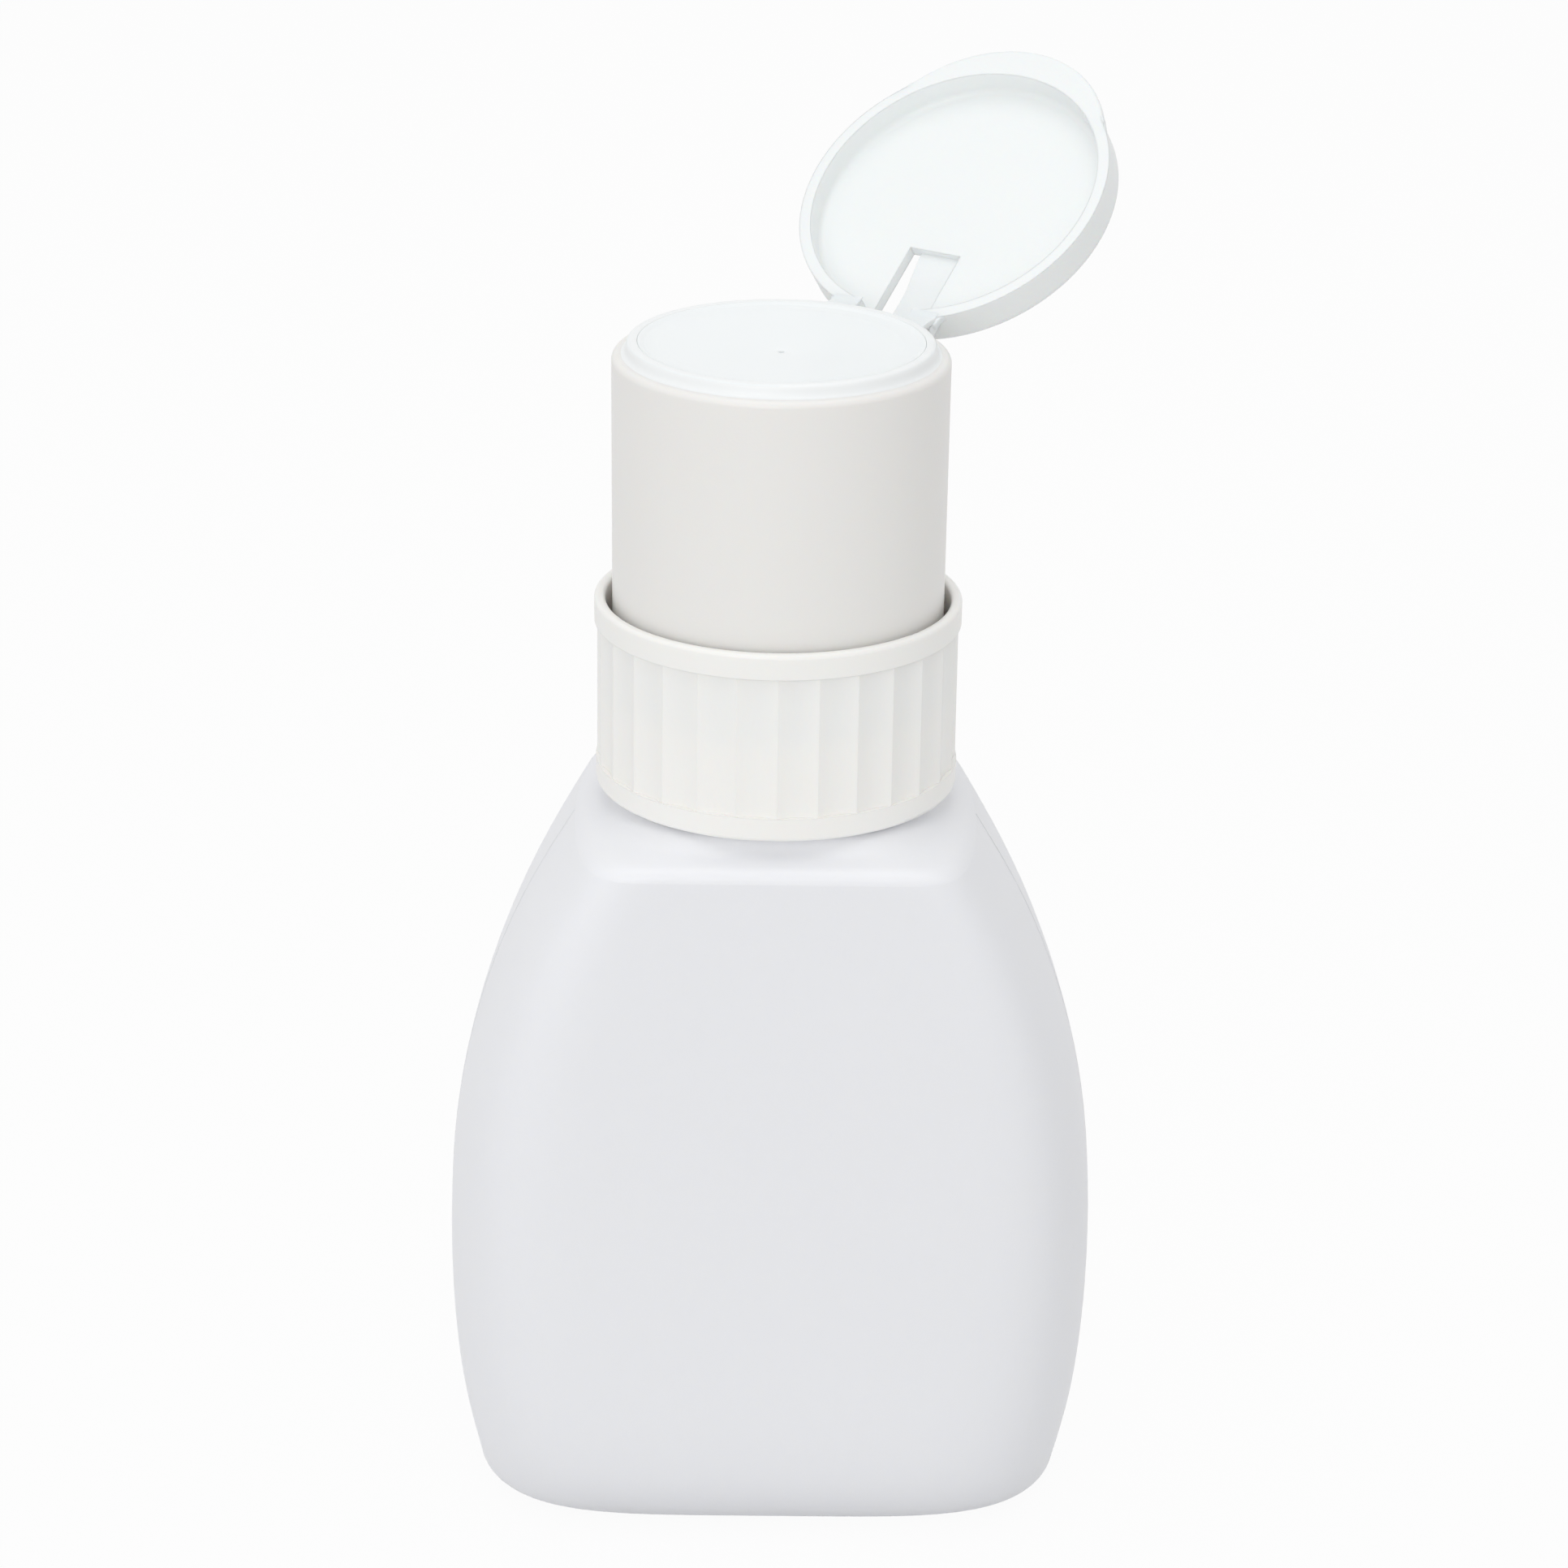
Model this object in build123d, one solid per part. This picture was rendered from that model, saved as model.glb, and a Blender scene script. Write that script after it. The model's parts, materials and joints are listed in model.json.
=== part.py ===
from build123d import *
import math
import os

# A push-down dispenser bottle, standing on its base with its flip lid open.
# Millimetres. The origin is the centre of the base, +Z is up and the flat front faces -Y.

# Bottle body
bottle_wall = 1.2
base_half_width = 36.1
base_half_depth = 16.9
base_edge_radius = 2.4
base_recess_depth = 1.2
base_ring_width = 7.0
base_recess_slope = 1.5
widest_half_width = 40.0
widest_height = 31.5
panel_half_depth = 23.7
panel_straight_height = 15.5
fold_half_width = 24.35
fold_height = 89.35
fold_radius = 1.8
base_squareness = 4.6
fold_squareness = 12.0
lower_side_power = 2.05
upper_side_power = 2.4
foot_angles = (0, 30, 60, 90)
fold_angles = (0, 22, 45, 68)
section_count = 10
section_point_count = 64
outline_sample_count = 720

# Shoulder and neck
shoulder_rise = 3.85
shoulder_side_slope = 0.65
neck_root_width = 0.4
neck_radius = 17.5
neck_wall = 1.5
neck_height = 9.2
neck_edge_radius = 0.4
neck_root_overlap = 1.0

# Screw collar
collar_top_radius = 22.05
collar_bottom_radius = 21.8
collar_shoulder_gap = 0.8
collar_bore_radius = 19.1
collar_rim_thickness = 1.35
collar_rim_radius = 0.55
collar_web_thickness = 1.5
collar_web_hole_gap = 1.0
flute_count = 28
flute_depth = 0.32
flute_band_step = 0.12
flute_top_band = 3.1
flute_bottom_band = 2.9

# Pump housing, gasket and housing cap
face_gap = 0.05
running_gap = 0.05
push_fit_gap = 0.02
cut_past = 1.0
gasket_thickness = 0.9
gasket_width = 3.0
gasket_edge_gap = 0.1
flange_thickness = 1.3
flange_edge_gap = 0.3
chamber_radius = 6.8
chamber_wall = 1.2
chamber_length = 40.6
chamber_floor = 2.0
chamber_foot_height = 2.0
snap_rim_radius = 9.2
snap_rim_height = 2.4
cap_skirt_thickness = 1.7
cap_top_thickness = 1.6
cap_edge_radius = 0.5
guide_length = 11.0
wiper_width = 1.5
wiper_thickness = 1.0

# Dip tube and inlet valve
tube_radius = 2.5
tube_bore_radius = 1.7
tube_floor_gap = 2.5
tube_cut_angle = 25.0
tube_cut_depth = 1.2
nipple_wall = 1.4
nipple_root_width = 0.6
nipple_length = 10.0
inlet_hole_radius = 1.4
inlet_ball_radius = 2.4
inlet_seat_depth = 1.0
inlet_seat_flare = 0.8
ball_rest_gap = 0.1
cage_height = 6.0
cage_wall = 0.9
cage_rim_height = 1.2
cage_hole_radius = 1.2
cage_ball_gap = 0.5
cage_window_width = 2.0
cage_window_rise = 0.6

# Stem, piston and spring
press_travel = 6.5
stem_radius = 4.0
stem_bore_radius = 1.6
stem_stop_radius = 5.2
stem_stop_thickness = 1.2
stem_port_width = 1.4
stem_port_height = 1.8
outlet_seat_depth = 0.8
piston_length = 8.0
piston_bore_gap = 0.03
piston_lip_depth = 2.2
piston_lip_thickness = 0.6
piston_lip_slope = 1.0
piston_root = 0.1
piston_sleeve_wall = 0.9
piston_waist = 0.8
rod_head_thickness = 1.6
rod_head_edge_radius = 0.4
rod_shank_length = 8.0
rod_flat_half_width = 1.1
spring_wire_radius = 0.45
spring_coil_radius = 4.4
spring_turns = 6.5
spring_side_gap = 0.15

# Head sleeve
sleeve_top_radius = 20.0
sleeve_bottom_radius = 19.86
sleeve_wall = 1.3
sleeve_length = 33.8
sleeve_overlap = 4.0
sleeve_floor_gap = 0.75
sleeve_edge_radius = 0.8
ledge_width = 1.8
ledge_lip = 0.9
ledge_thickness = 1.2

# Dish in the head's top
dish_rim_height = 1.5
dish_lip_width = 0.9
dish_lip_slope = 0.6
dish_lip_radius = 0.3
dish_step_depth = 0.5
dish_fall = 0.9
dish_floor_thickness = 1.2
dish_plug_depth = 3.0
dish_plug_wall = 1.3
dish_ring_count = 2
dish_ring_inset = 2.3
dish_ring_pitch = 5.0
dish_ring_width = 0.6
dish_ring_height = 0.12
outlet_hole_radius = 1.2
outlet_flare_width = 0.8
outlet_flare_depth = 0.3
outlet_ball_radius = 2.0
valve_chamber_radius = 2.5
valve_chamber_height = 4.6
socket_depth = 6.0
socket_wall = 1.5
rib_count = 4
rib_thickness = 1.0
rib_height = 4.5
root_overlap = 0.3

# Flip lid and hinge
hinge_azimuth = 55.0
hinge_drop = 0.1
hinge_reach = 0.3
open_angle = 141.5
lid_gap = 0.3
lid_height = 4.7
lid_plate = 1.4
lid_skirt = 1.5
lid_edge_radius = 1.0
lid_inner_radius = 0.8
tab_reach = 2.5
tab_radius = 16.5
tab_thickness = 1.3
tab_edge_radius = 0.4
slot_half_width = 3.6
slot_length = 13.1
ear_half_span = 7.4
ear_thickness = 0.5
ear_side_gap = 0.1
ear_pad_height = 1.6
ear_pad_depth = 4.0
bead_radius = 0.4
shelf_face_setback = 0.1
shelf_lip_height = 0.8
shelf_height = 4.2
shelf_root_depth = 3.0
strap_width = 5.6
strap_thickness = 0.6
strap_end_gap = 0.2
strap_anchor_drop = 3.6
strap_root_height = 1.6
strap_bow = 2.2

# Levels of the stack, from the shoulder upwards
shoulder_top = fold_height + shoulder_rise
neck_top = shoulder_top + neck_height
flange_bottom = neck_top + gasket_thickness
flange_top = flange_bottom + flange_thickness
web_bottom = flange_top + face_gap
web_top = web_bottom + collar_web_thickness
collar_bottom = shoulder_top + collar_shoulder_gap
collar_top = web_top + sleeve_floor_gap + press_travel + sleeve_overlap
sleeve_bottom = collar_top - sleeve_overlap
ledge_top = sleeve_bottom + sleeve_length
dish_rim_top = ledge_top + dish_rim_height
dish_radius = sleeve_top_radius - ledge_width
dish_floor_top = dish_rim_top - dish_step_depth
dish_centre_top = dish_floor_top - dish_fall
stem_top = dish_centre_top - dish_floor_thickness - valve_chamber_height
chamber_bottom = flange_top - chamber_length
guide_bottom = flange_top - guide_length
stop_top = guide_bottom - face_gap
piston_top = stop_top - stem_stop_thickness - face_gap
piston_bottom = piston_top - piston_length
rod_head_bottom = piston_bottom - face_gap - rod_head_thickness
cap_top = flange_top + snap_rim_height + face_gap + cap_top_thickness

HINGE_TURN = Rot(0, 0, hinge_azimuth)
hinge_radius = sleeve_top_radius + hinge_reach
hinge_height = ledge_top - hinge_drop
lid_rim = ledge_top + lid_gap


def rod(radius, low, high):
    """Upright cylinder between two heights."""
    return Pos(0, 0, low) * Cylinder(radius, high - low, align=(Align.CENTER, Align.CENTER, Align.MIN))


def ring(outer, inner, low, high):
    """Upright tube between two heights."""
    return rod(outer, low, high) - rod(inner, low, high)


def turned(*points):
    """Solid of revolution about Z from (radius, height) points."""
    outline = Polyline(*[(radius, 0, height) for radius, height in points], close=True)
    return revolve(make_face(outline), Axis.Z, 360)


def block(x_range, y_range, z_range):
    """Box between two x, two y and two z values."""
    size = [high - low for low, high in (x_range, y_range, z_range)]
    middle = [(high + low) / 2 for low, high in (x_range, y_range, z_range)]
    return Pos(*middle) * Box(*size)


def half_width(height):
    """The body swells from the base to its widest level and draws in to the fold."""
    if height < widest_height:
        share = 1 - height / widest_height
        return widest_half_width - (widest_half_width - base_half_width) * share**lower_side_power
    share = (height - widest_height) / (fold_height - widest_height)
    return widest_half_width - (widest_half_width - fold_half_width) * share**upper_side_power


def half_depth(height):
    """Front and back lean out from the base and then stand straight up to the fold."""
    share = max(0, 1 - height / panel_straight_height)
    return panel_half_depth - (panel_half_depth - base_half_depth) * share**2


def squareness(height):
    share = height / fold_height
    return base_squareness + (fold_squareness - base_squareness) * share


def outline_point(width, depth, power, angle):
    """Point of an outline with a nearly flat front and back and rounded narrow sides."""
    across = math.copysign(abs(math.cos(angle)) ** (2 / power), math.cos(angle))
    return (width * across, depth * math.sin(angle))


def evenly_spaced(outline, count):
    """Points at equal steps along a closed outline."""
    travelled = [0]
    for start, end in zip(outline, outline[1:]):
        travelled.append(travelled[-1] + math.dist(start, end))
    points = []
    piece = 0
    for index in range(count):
        target = travelled[-1] * index / count
        while travelled[piece + 1] < target:
            piece += 1
        share = (target - travelled[piece]) / (travelled[piece + 1] - travelled[piece])
        start, end = outline[piece], outline[piece + 1]
        points.append([start[i] + share * (end[i] - start[i]) for i in (0, 1)])
    return points


def section(width, depth, power, height):
    """Level face of the body at one height."""
    turns = [2 * math.pi * index / outline_sample_count for index in range(outline_sample_count + 1)]
    outline = [outline_point(width, depth, power, angle) for angle in turns]
    points = [(x, y, height) for x, y in evenly_spaced(outline, section_point_count)]
    return make_face(Spline(*points, periodic=True))


def drawn_in(inset, height):
    """The body's section at one height, drawn in by the inset all round."""
    return section(half_width(height) - inset, half_depth(height) - inset, squareness(height), height)


def foot_loft(inset, low):
    """The rounded edge between the base and the body."""
    radius = base_edge_radius - inset
    sections = []
    for angle in foot_angles:
        rise = radius * (1 - math.cos(math.radians(angle)))
        tuck = radius * (1 - math.sin(math.radians(angle)))
        sections.append(drawn_in(inset + tuck, low + rise))
    return loft(sections)


def body_loft(inset, low):
    """The body from the rounded base edge up to the fold."""
    bottom = low + base_edge_radius - inset
    step = (fold_height - bottom) / (section_count - 1)
    return loft([drawn_in(inset, bottom + step * index) for index in range(section_count)])


def shoulder_loft(inset):
    """The shoulder: a tight roll over the fold, then a slope that climbs to the round neck."""
    radius = fold_radius - inset
    depth = panel_half_depth - inset
    width = fold_half_width - inset
    neck_root = neck_radius + neck_root_width - inset
    rise = shoulder_rise - inset
    profile = []
    for angle in fold_angles:
        turn = math.radians(angle)
        profile.append((depth - radius * (1 - math.cos(turn)), radius * math.sin(turn)))
    roll_depth, roll_rise = profile[-1]
    profile.append(((roll_depth + neck_root) / 2, (roll_rise + rise) / 2))
    profile.append((neck_root, rise))
    sections = []
    for level_depth, level in profile:
        share = (depth - level_depth) / (depth - neck_root)
        level_width = width + (neck_root - width) * share - shoulder_side_slope * level * (1 - share)
        power = fold_squareness + (2 - fold_squareness) * share
        sections.append(section(level_width, level_depth, power, fold_height + level))
    return loft(sections)


def hollow_body(inset):
    """Foot, body and shoulder in one, with every surface drawn in by the inset."""
    return foot_loft(inset, inset) + body_loft(inset, inset) + shoulder_loft(inset)


def base_recess():
    """The shallow push-up that leaves the bottle standing on a ring."""
    levels = ((base_ring_width, 0), (base_ring_width + base_recess_slope, base_recess_depth))
    return loft(
        [
            section(base_half_width - inset, base_half_depth - inset, base_squareness, height)
            for inset, height in levels
        ]
    )


def bottle():
    """Blow moulding: body, shoulder and open neck, one wall thick all over."""
    neck = rod(neck_radius, shoulder_top - neck_root_overlap, neck_top)
    outside = hollow_body(0) + fillet(neck.edges().group_by(Axis.Z)[-1], neck_edge_radius)
    island = Pos(0, 0, bottle_wall) * base_recess()
    bore = rod(neck_radius - neck_wall, fold_height, neck_top + cut_past)
    return outside - (hollow_body(bottle_wall) - island) - bore - base_recess()


def flute_cutter():
    """Round-nosed cutter whose neighbouring cuts meet in a sharp ridge."""
    ridge_radius = collar_bottom_radius - flute_band_step
    half_chord = ridge_radius * math.sin(math.pi / flute_count)
    radius = (half_chord**2 + flute_depth**2) / (2 * flute_depth)
    floor = ridge_radius * math.cos(math.pi / flute_count) - flute_depth
    cutter = rod(radius, collar_bottom + flute_bottom_band, collar_top - flute_top_band)
    return Pos(floor + radius, 0, 0) * cutter


def collar():
    """Screw closure: fluted skirt, clamping web and the well that the head goes down into."""
    well_radius = collar_top_radius - collar_rim_thickness
    hole = snap_rim_radius + cap_skirt_thickness + collar_web_hole_gap
    shell = turned(
        (collar_bore_radius, collar_bottom),
        (collar_bottom_radius, collar_bottom),
        (collar_top_radius, collar_top),
        (well_radius, collar_top),
        (well_radius, web_top),
        (hole, web_top),
        (hole, web_bottom),
        (collar_bore_radius, web_bottom),
    )
    levels = shell.edges().group_by(Axis.Z)
    shell = fillet(levels[-1] + levels[0].sort_by(SortBy.RADIUS)[-1:], collar_rim_radius)
    cutter = flute_cutter()
    for index in range(flute_count):
        shell -= Rot(0, 0, (index + 0.5) * 360 / flute_count) * cutter
    return shell


def neck_gasket():
    """Flat ring between the neck and the pump's flange."""
    outer = neck_radius - gasket_edge_gap
    return ring(outer, outer - gasket_width, neck_top, flange_bottom)


def pump_housing():
    """Flange, chamber, inlet seat and tube socket in one moulding."""
    outer = chamber_radius + chamber_wall
    nipple_outer = tube_radius + nipple_wall
    flange_radius = neck_radius - flange_edge_gap
    rim_top = flange_top + snap_rim_height
    return turned(
        (inlet_hole_radius, chamber_bottom),
        (inlet_hole_radius, chamber_bottom + chamber_floor - inlet_seat_depth),
        (inlet_ball_radius + inlet_seat_flare, chamber_bottom + chamber_floor),
        (chamber_radius, chamber_bottom + chamber_floor),
        (chamber_radius, rim_top),
        (snap_rim_radius, rim_top),
        (snap_rim_radius, flange_top),
        (flange_radius, flange_top),
        (flange_radius, flange_bottom),
        (outer, flange_bottom),
        (outer, chamber_bottom + chamber_foot_height),
        (nipple_outer + nipple_root_width, chamber_bottom),
        (nipple_outer, chamber_bottom - nipple_length),
        (tube_radius + push_fit_gap, chamber_bottom - nipple_length),
        (tube_radius + push_fit_gap, chamber_bottom),
    )


def dip_tube():
    """Suction tube, cut off at a slant just above the bottle's floor."""
    low = bottle_wall + base_recess_depth + tube_floor_gap
    tube = ring(tube_radius, tube_bore_radius, low, chamber_bottom - face_gap)
    slant = Box(8 * tube_radius, 8 * tube_radius, 2 * tube_cut_depth)
    return tube - Pos(0, 0, low) * Rot(0, tube_cut_angle, 0) * slant


def inlet_ball():
    """Lower check valve, at rest on the seat in the chamber's floor."""
    seat = chamber_bottom + chamber_floor - inlet_seat_depth
    rise = math.sqrt(inlet_ball_radius**2 - inlet_hole_radius**2) + ball_rest_gap
    return Pos(0, 0, seat + rise) * Sphere(inlet_ball_radius)


def valve_cage():
    """Bridged cup over the inlet ball, with a rim that carries the spring."""
    low = chamber_bottom + chamber_floor + face_gap
    top = low + cage_height
    inner = inlet_ball_radius + cage_ball_gap
    outer = spring_coil_radius - spring_wire_radius - spring_side_gap
    shell = turned(
        (inner, low),
        (chamber_radius - running_gap, low),
        (chamber_radius - running_gap, low + cage_rim_height),
        (outer, low + cage_rim_height),
        (outer, top),
        (cage_hole_radius, top),
        (cage_hole_radius, top - cage_wall),
        (inner, top - cage_wall),
    )
    half = cage_window_width / 2
    window_low = low + cage_rim_height + cage_window_rise
    window = block((-chamber_radius, chamber_radius), (-half, half), (window_low, top - cage_wall))
    return shell - window - Rot(0, 0, 90) * window


def pump_spring():
    """Compression spring between the cage's rim and the head of the piston rod."""
    low = chamber_bottom + chamber_floor + face_gap + cage_rim_height
    rise = rod_head_bottom - low - 2 * spring_wire_radius
    path = Pos(0, 0, low + spring_wire_radius) * Helix(rise / spring_turns, rise, spring_coil_radius)
    wire = Plane(path @ 0, z_dir=path % 0) * Circle(spring_wire_radius)
    return sweep(wire, path=path, is_frenet=True)


def piston_cup():
    """Soft piston with a wiping lip at each end."""
    bore = stem_radius + piston_bore_gap
    sleeve = bore + piston_sleeve_wall
    edge = chamber_radius - running_gap
    lip = edge - piston_lip_thickness
    waist = chamber_radius - piston_waist
    low_root = piston_bottom + piston_lip_depth
    high_root = piston_top - piston_lip_depth
    return turned(
        (bore, piston_bottom),
        (sleeve, piston_bottom),
        (sleeve, low_root),
        (lip - piston_root, low_root),
        (lip, piston_bottom),
        (edge, piston_bottom),
        (waist, low_root + piston_lip_slope),
        (waist, high_root - piston_lip_slope),
        (edge, piston_top),
        (lip, piston_top),
        (lip - piston_root, high_root),
        (sleeve, high_root),
        (sleeve, piston_top),
        (bore, piston_top),
    )


def piston_rod():
    """Plug that closes the stem's foot, with flats that let the liquid past its shank."""
    head = rod(stem_stop_radius, rod_head_bottom, rod_head_bottom + rod_head_thickness)
    shank_top = rod_head_bottom + rod_head_thickness + rod_shank_length
    shank = rod(stem_bore_radius - push_fit_gap, rod_head_bottom + rod_head_thickness, shank_top)
    flat = (-rod_flat_half_width, rod_flat_half_width)
    shank &= block((-stem_radius, stem_radius), flat, (rod_head_bottom, shank_top))
    return fillet(head.edges().group_by(Axis.Z)[0], rod_head_edge_radius) + shank


def stem():
    """Hollow stem with two ports at its foot and the stop ring that ends the upstroke."""
    foot = rod_head_bottom + rod_head_thickness + face_gap
    outside = rod(stem_radius, foot, stem_top)
    outside += rod(stem_stop_radius, stop_top - stem_stop_thickness, stop_top)
    seat = turned(
        (0, stem_top - outlet_seat_depth),
        (stem_bore_radius, stem_top - outlet_seat_depth),
        (stem_bore_radius + outlet_seat_depth + cut_past, stem_top + cut_past),
        (0, stem_top + cut_past),
    )
    half = stem_port_width / 2
    port_top = foot + stem_port_height
    port = block((-half, half), (-stem_stop_radius, stem_stop_radius), (foot - cut_past, port_top))
    return outside - rod(stem_bore_radius, foot - cut_past, stem_top + cut_past) - seat - port


def housing_cap():
    """Cap that snaps over the housing's rim, with the long guide tube for the stem."""
    skirt_inner = snap_rim_radius + running_gap
    skirt_outer = snap_rim_radius + cap_skirt_thickness
    under = flange_top + snap_rim_height + face_gap
    bore = stem_radius + running_gap
    recess = stem_radius + running_gap + wiper_width
    shell = turned(
        (bore, guide_bottom),
        (chamber_radius - running_gap, guide_bottom),
        (chamber_radius - running_gap, under),
        (skirt_inner, under),
        (skirt_inner, flange_top + face_gap),
        (skirt_outer, flange_top + face_gap),
        (skirt_outer, cap_top),
        (recess, cap_top),
        (recess, cap_top - wiper_thickness),
        (bore, cap_top - wiper_thickness),
    )
    rim = shell.edges().group_by(Axis.Z)[-1].sort_by(SortBy.RADIUS)[-1]
    return fillet(rim, cap_edge_radius)


def stem_wiper():
    """Soft ring that keeps the liquid in around the stem."""
    inner = stem_radius + running_gap
    outer = inner + wiper_width - push_fit_gap
    return ring(outer, inner, cap_top - wiper_thickness, cap_top)


def hinge_cylinder(radius, half_span):
    """Cylinder on the hinge axis, which lies along Y before the turn to the hinge's side."""
    return Pos(hinge_radius, 0, hinge_height) * Rot(90, 0, 0) * Cylinder(radius, 2 * half_span)


def hinge_shelf():
    """Straight shelf on the sleeve's edge that carries the hinge line, open in the middle."""
    face = hinge_radius - shelf_face_setback
    root = sleeve_top_radius - shelf_root_depth
    top = hinge_height - shelf_face_setback
    outline = Polyline(
        (root, 0, top),
        (face, 0, top),
        (face, 0, top - shelf_lip_height),
        (root, 0, top - shelf_height),
        close=True,
    )
    shelf = extrude(make_face(outline), ear_half_span, both=True)
    gap = (-slot_half_width, slot_half_width)
    shelf -= block((0, 2 * sleeve_top_radius), gap, (0, 2 * ledge_top))
    return shelf - rod(sleeve_top_radius - sleeve_wall, 0, ledge_top)


def head_sleeve():
    """Tall outer cylinder of the head, open below, with an inward ledge for the dish."""
    draft = sleeve_top_radius - sleeve_bottom_radius
    inner = sleeve_bottom_radius - sleeve_wall
    shell = turned(
        (inner, sleeve_bottom),
        (sleeve_bottom_radius, sleeve_bottom),
        (sleeve_bottom_radius + draft, ledge_top),
        (dish_radius - ledge_lip, ledge_top),
        (dish_radius - ledge_lip, ledge_top - ledge_thickness),
        (inner, ledge_top - ledge_thickness),
    )
    edge = shell.edges().group_by(Axis.Z)[-1].sort_by(SortBy.RADIUS)[-1]
    shell = fillet(edge, sleeve_edge_radius)
    groove = hinge_cylinder(bead_radius + running_gap, ear_half_span + cut_past)
    return shell + HINGE_TURN * hinge_shelf() - HINGE_TURN * groove


def dish_plate(plug_radius):
    """Raised rim, shallow bowl, outlet hole and the plug that fits inside the sleeve's ledge."""
    underside = ledge_top - ledge_thickness
    plug_inner = plug_radius - dish_plug_wall
    plug_bottom = ledge_top - dish_plug_depth
    plate = turned(
        (outlet_hole_radius, underside),
        (outlet_hole_radius, dish_centre_top - outlet_flare_depth),
        (outlet_hole_radius + outlet_flare_width, dish_centre_top),
        (dish_radius - dish_lip_width - dish_lip_slope, dish_floor_top),
        (dish_radius - dish_lip_width, dish_rim_top),
        (dish_radius, dish_rim_top),
        (dish_radius, ledge_top),
        (plug_radius, ledge_top),
        (plug_radius, plug_bottom),
        (plug_inner, plug_bottom),
        (plug_inner, underside),
    )
    return fillet(plate.edges().group_by(Axis.Z)[-1], dish_lip_radius)


def dish_ridges():
    """Fine raised rings in the bowl, one after the other towards the outlet."""
    bowl_radius = dish_radius - dish_lip_width
    slope = dish_fall / (bowl_radius - outlet_hole_radius)
    ridges = []
    for index in range(dish_ring_count):
        radius = bowl_radius - dish_ring_inset - dish_ring_pitch * index
        level = dish_floor_top - slope * (bowl_radius - radius)
        ridge = ring(radius, radius - dish_ring_width, level - dish_step_depth, level + dish_ring_height)
        ridges.append(ridge)
    return ridges


def dish():
    """Top insert of the head, with the socket and ribs that hold the stem under it."""
    plug_radius = dish_radius - ledge_lip - running_gap
    underside = ledge_top - ledge_thickness
    socket_radius = stem_radius + running_gap + socket_wall
    socket_bottom = stem_top - socket_depth
    body = rod(socket_radius, socket_bottom, underside + root_overlap)
    for index in range(rib_count):
        rib = block(
            (socket_radius - root_overlap, plug_radius - dish_plug_wall + root_overlap),
            (-rib_thickness / 2, rib_thickness / 2),
            (underside - rib_height, underside + root_overlap),
        )
        body += Rot(0, 0, 360 * index / rib_count) * rib
    body -= rod(stem_radius + running_gap, socket_bottom - cut_past, stem_top + face_gap)
    body -= rod(valve_chamber_radius, stem_top - cut_past, dish_centre_top - dish_floor_thickness)
    body -= rod(outlet_hole_radius, stem_top, dish_rim_top)
    return body + dish_plate(plug_radius) + dish_ridges()


def outlet_ball():
    """Upper check valve, at rest on the stem's top."""
    seat = stem_top - outlet_seat_depth
    rise = math.sqrt(outlet_ball_radius**2 - stem_bore_radius**2) + ball_rest_gap
    return Pos(0, 0, seat + rise) * Sphere(outlet_ball_radius)


def both_sides(x_range, inner, outer, z_range):
    """Two mirrored blocks, one on each side of the lid's slot."""
    return block(x_range, (inner, outer), z_range) + block(x_range, (-outer, -inner), z_range)


def closed_lid():
    """Lid as it lies shut, with its hinge on the +X side."""
    top = lid_rim + lid_height
    pad_face = hinge_radius + root_overlap
    outside = rod(sleeve_top_radius, lid_rim, top)
    outside = fillet(outside.edges().group_by(Axis.Z)[-1], lid_edge_radius)
    tab_centre = sleeve_top_radius + tab_reach - tab_radius
    tab = rod(tab_radius, lid_rim, lid_rim + tab_thickness)
    tab = fillet(tab.edges().filter_by(GeomType.CIRCLE), tab_edge_radius)
    outside += Pos(-tab_centre, 0, 0) * tab
    outside += both_sides(
        (sleeve_top_radius - ear_pad_depth, pad_face),
        slot_half_width,
        ear_half_span,
        (lid_rim, lid_rim + ear_pad_height),
    )
    hollow = rod(sleeve_top_radius - lid_skirt, lid_rim - cut_past, top - lid_plate)
    hollow = fillet(hollow.edges().group_by(Axis.Z)[-1], lid_inner_radius)
    slot_sides = (-slot_half_width, slot_half_width)
    slot_span = (hinge_radius - slot_length, pad_face + cut_past)
    slot = block(slot_span, slot_sides, (lid_rim - cut_past, top + cut_past))
    ears = both_sides(
        (hinge_radius - ear_thickness / 2, hinge_radius + ear_thickness / 2),
        slot_half_width + ear_side_gap,
        ear_half_span - ear_side_gap,
        (hinge_height, lid_rim + root_overlap),
    )
    beads = hinge_cylinder(bead_radius, ear_half_span - ear_side_gap)
    beads -= hinge_cylinder(2 * bead_radius, slot_half_width + ear_side_gap)
    return outside - hollow - slot + ears + beads


def opened(shape):
    """Swing a shape that is modelled shut about the hinge to the open rest pose."""
    axis = Pos(hinge_radius, 0, hinge_height)
    return HINGE_TURN * axis * Rot(0, open_angle, 0) * axis.inverse() * shape


def lid():
    """Flip lid with its thumb tab, slot and two hinge ears, stood open."""
    return opened(closed_lid())


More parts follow.
